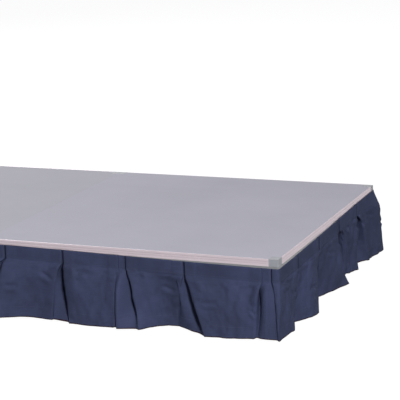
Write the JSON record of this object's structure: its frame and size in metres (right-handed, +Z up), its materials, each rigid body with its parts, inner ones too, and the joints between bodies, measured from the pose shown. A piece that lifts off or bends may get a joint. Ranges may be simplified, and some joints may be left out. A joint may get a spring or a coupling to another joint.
{
  "type": "stage riser platform",
  "caption": "Low portable stage: two square decks coupled side by side on plug-in legs with levelling feet, edged in ribbed rail, with a box-pleated cloth skirt.",
  "frame": {"origin": "on the floor below the middle of the stage, at the joint between the two decks", "axes": "+X along the long side, through both decks; +Y from the front to the back; +Z up"},
  "size_m": [2.529, 1.3092, 0.3048],
  "materials": {
    "deck_grey": "fine textured laminate, satin",
    "plywood": "birch plywood, sealed",
    "rail_aluminium": "satin anodised extrusion",
    "mill_aluminium": "mill finish extrusion",
    "cast_grey": "grey powder coat on a casting",
    "foot_rubber": "moulded, matt",
    "black_metal": "black satin coat",
    "zinc_steel": "bright zinc plate",
    "loop_tape": "grey loop pile",
    "skirt_cloth": "navy polyester twill, matt"
  },
  "bodies": {
    "platform": {"coupler_pivots": "zinc_steel", "coupler_studs": "zinc_steel", "deck_screws": "zinc_steel", "frame_bolts": "zinc_steel", "left_beam_1": "mill_aluminium", "left_beam_2": "mill_aluminium", "left_casting_back_inner": "cast_grey", "left_casting_back_outer": "cast_grey", "left_casting_front_inner": "cast_grey", "left_casting_front_outer": "cast_grey", "left_deck_core": "plywood", "left_deck_surface": "deck_grey", "left_rail_back": "rail_aluminium", "left_rail_end": "rail_aluminium", "left_rail_front": "rail_aluminium", "left_rail_joint": "rail_aluminium", "loop_tape": "loop_tape", "right_beam_1": "mill_aluminium", "right_beam_2": "mill_aluminium", "right_casting_back_inner": "cast_grey", "right_casting_back_outer": "cast_grey", "right_casting_front_inner": "cast_grey", "right_casting_front_outer": "cast_grey", "right_deck_core": "plywood", "right_deck_surface": "deck_grey", "right_rail_back": "rail_aluminium", "right_rail_end": "rail_aluminium", "right_rail_front": "rail_aluminium", "right_rail_joint": "rail_aluminium", "skirt_back": "skirt_cloth", "skirt_front": "skirt_cloth", "skirt_left": "skirt_cloth", "skirt_right": "skirt_cloth"},
    "left_leg_front_outer": {"left_leg_front_outer": "mill_aluminium"},
    "left_foot_front_outer": {"left_foot_front_outer": "foot_rubber"},
    "left_clamp_front_outer": {"left_clamp_front_outer": "black_metal"},
    "left_leg_front_inner": {"left_leg_front_inner": "mill_aluminium"},
    "left_foot_front_inner": {"left_foot_front_inner": "foot_rubber"},
    "left_clamp_front_inner": {"left_clamp_front_inner": "black_metal"},
    "left_leg_back_outer": {"left_leg_back_outer": "mill_aluminium"},
    "left_foot_back_outer": {"left_foot_back_outer": "foot_rubber"},
    "left_clamp_back_outer": {"left_clamp_back_outer": "black_metal"},
    "left_leg_back_inner": {"left_leg_back_inner": "mill_aluminium"},
    "left_foot_back_inner": {"left_foot_back_inner": "foot_rubber"},
    "left_clamp_back_inner": {"left_clamp_back_inner": "black_metal"},
    "right_leg_front_outer": {"right_leg_front_outer": "mill_aluminium"},
    "right_foot_front_outer": {"right_foot_front_outer": "foot_rubber"},
    "right_clamp_front_outer": {"right_clamp_front_outer": "black_metal"},
    "right_leg_front_inner": {"right_leg_front_inner": "mill_aluminium"},
    "right_foot_front_inner": {"right_foot_front_inner": "foot_rubber"},
    "right_clamp_front_inner": {"right_clamp_front_inner": "black_metal"},
    "right_leg_back_outer": {"right_leg_back_outer": "mill_aluminium"},
    "right_foot_back_outer": {"right_foot_back_outer": "foot_rubber"},
    "right_clamp_back_outer": {"right_clamp_back_outer": "black_metal"},
    "right_leg_back_inner": {"right_leg_back_inner": "mill_aluminium"},
    "right_foot_back_inner": {"right_foot_back_inner": "foot_rubber"},
    "right_clamp_back_inner": {"right_clamp_back_inner": "black_metal"},
    "coupler_lever_front": {"coupler_lever_front": "zinc_steel"},
    "coupler_lever_back": {"coupler_lever_back": "zinc_steel"}
  },
  "joints": [
    {"name": "left_leg_front_outer_slide", "type": "slide", "parent": "platform", "child": "left_leg_front_outer", "axis": [0, 0, 1], "range_m": [-0.075, 0]},
    {"name": "left_foot_front_outer_screw", "type": "slide", "parent": "left_leg_front_outer", "child": "left_foot_front_outer", "axis": [0, 0, 1], "range_m": [-0.025, 0]},
    {"name": "left_clamp_front_outer_turn", "type": "hinge", "parent": "platform", "child": "left_clamp_front_outer", "pos_m": [-1.1675, -0.5576, 0.2168], "axis": [0.7071, 0.7071, 0], "range_deg": [0, 270]},
    {"name": "left_leg_front_inner_slide", "type": "slide", "parent": "platform", "child": "left_leg_front_inner", "axis": [0, 0, 1], "range_m": [-0.075, 0]},
    {"name": "left_foot_front_inner_screw", "type": "slide", "parent": "left_leg_front_inner", "child": "left_foot_front_inner", "axis": [0, 0, 1], "range_m": [-0.025, 0]},
    {"name": "left_clamp_front_inner_turn", "type": "hinge", "parent": "platform", "child": "left_clamp_front_inner", "pos_m": [-0.0523, -0.5576, 0.2168], "axis": [-0.7071, 0.7071, 0], "range_deg": [0, 270]},
    {"name": "left_leg_back_outer_slide", "type": "slide", "parent": "platform", "child": "left_leg_back_outer", "axis": [0, 0, 1], "range_m": [-0.075, 0]},
    {"name": "left_foot_back_outer_screw", "type": "slide", "parent": "left_leg_back_outer", "child": "left_foot_back_outer", "axis": [0, 0, 1], "range_m": [-0.025, 0]},
    {"name": "left_clamp_back_outer_turn", "type": "hinge", "parent": "platform", "child": "left_clamp_back_outer", "pos_m": [-1.1675, 0.5576, 0.2168], "axis": [0.7071, -0.7071, 0], "range_deg": [0, 270]},
    {"name": "left_leg_back_inner_slide", "type": "slide", "parent": "platform", "child": "left_leg_back_inner", "axis": [0, 0, 1], "range_m": [-0.075, 0]},
    {"name": "left_foot_back_inner_screw", "type": "slide", "parent": "left_leg_back_inner", "child": "left_foot_back_inner", "axis": [0, 0, 1], "range_m": [-0.025, 0]},
    {"name": "left_clamp_back_inner_turn", "type": "hinge", "parent": "platform", "child": "left_clamp_back_inner", "pos_m": [-0.0523, 0.5576, 0.2168], "axis": [-0.7071, -0.7071, 0], "range_deg": [0, 270]},
    {"name": "right_leg_front_outer_slide", "type": "slide", "parent": "platform", "child": "right_leg_front_outer", "axis": [0, 0, 1], "range_m": [-0.075, 0]},
    {"name": "right_foot_front_outer_screw", "type": "slide", "parent": "right_leg_front_outer", "child": "right_foot_front_outer", "axis": [0, 0, 1], "range_m": [-0.025, 0]},
    {"name": "right_clamp_front_outer_turn", "type": "hinge", "parent": "platform", "child": "right_clamp_front_outer", "pos_m": [1.1675, -0.5576, 0.2168], "axis": [-0.7071, 0.7071, 0], "range_deg": [0, 270]},
    {"name": "right_leg_front_inner_slide", "type": "slide", "parent": "platform", "child": "right_leg_front_inner", "axis": [0, 0, 1], "range_m": [-0.075, 0]},
    {"name": "right_foot_front_inner_screw", "type": "slide", "parent": "right_leg_front_inner", "child": "right_foot_front_inner", "axis": [0, 0, 1], "range_m": [-0.025, 0]},
    {"name": "right_clamp_front_inner_turn", "type": "hinge", "parent": "platform", "child": "right_clamp_front_inner", "pos_m": [0.0523, -0.5576, 0.2168], "axis": [0.7071, 0.7071, 0], "range_deg": [0, 270]},
    {"name": "right_leg_back_outer_slide", "type": "slide", "parent": "platform", "child": "right_leg_back_outer", "axis": [0, 0, 1], "range_m": [-0.075, 0]},
    {"name": "right_foot_back_outer_screw", "type": "slide", "parent": "right_leg_back_outer", "child": "right_foot_back_outer", "axis": [0, 0, 1], "range_m": [-0.025, 0]},
    {"name": "right_clamp_back_outer_turn", "type": "hinge", "parent": "platform", "child": "right_clamp_back_outer", "pos_m": [1.1675, 0.5576, 0.2168], "axis": [-0.7071, -0.7071, 0], "range_deg": [0, 270]},
    {"name": "right_leg_back_inner_slide", "type": "slide", "parent": "platform", "child": "right_leg_back_inner", "axis": [0, 0, 1], "range_m": [-0.075, 0]},
    {"name": "right_foot_back_inner_screw", "type": "slide", "parent": "right_leg_back_inner", "child": "right_foot_back_inner", "axis": [0, 0, 1], "range_m": [-0.025, 0]},
    {"name": "right_clamp_back_inner_turn", "type": "hinge", "parent": "platform", "child": "right_clamp_back_inner", "pos_m": [0.0523, 0.5576, 0.2168], "axis": [0.7071, -0.7071, 0], "range_deg": [0, 270]},
    {"name": "coupler_lever_front_turn", "type": "hinge", "parent": "platform", "child": "coupler_lever_front", "pos_m": [-0.0133, -0.35, 0.2008], "axis": [0, 1, 0], "range_deg": [0, 35]},
    {"name": "coupler_lever_back_turn", "type": "hinge", "parent": "platform", "child": "coupler_lever_back", "pos_m": [-0.0133, 0.35, 0.2008], "axis": [0, 1, 0], "range_deg": [0, 35]}
  ]
}
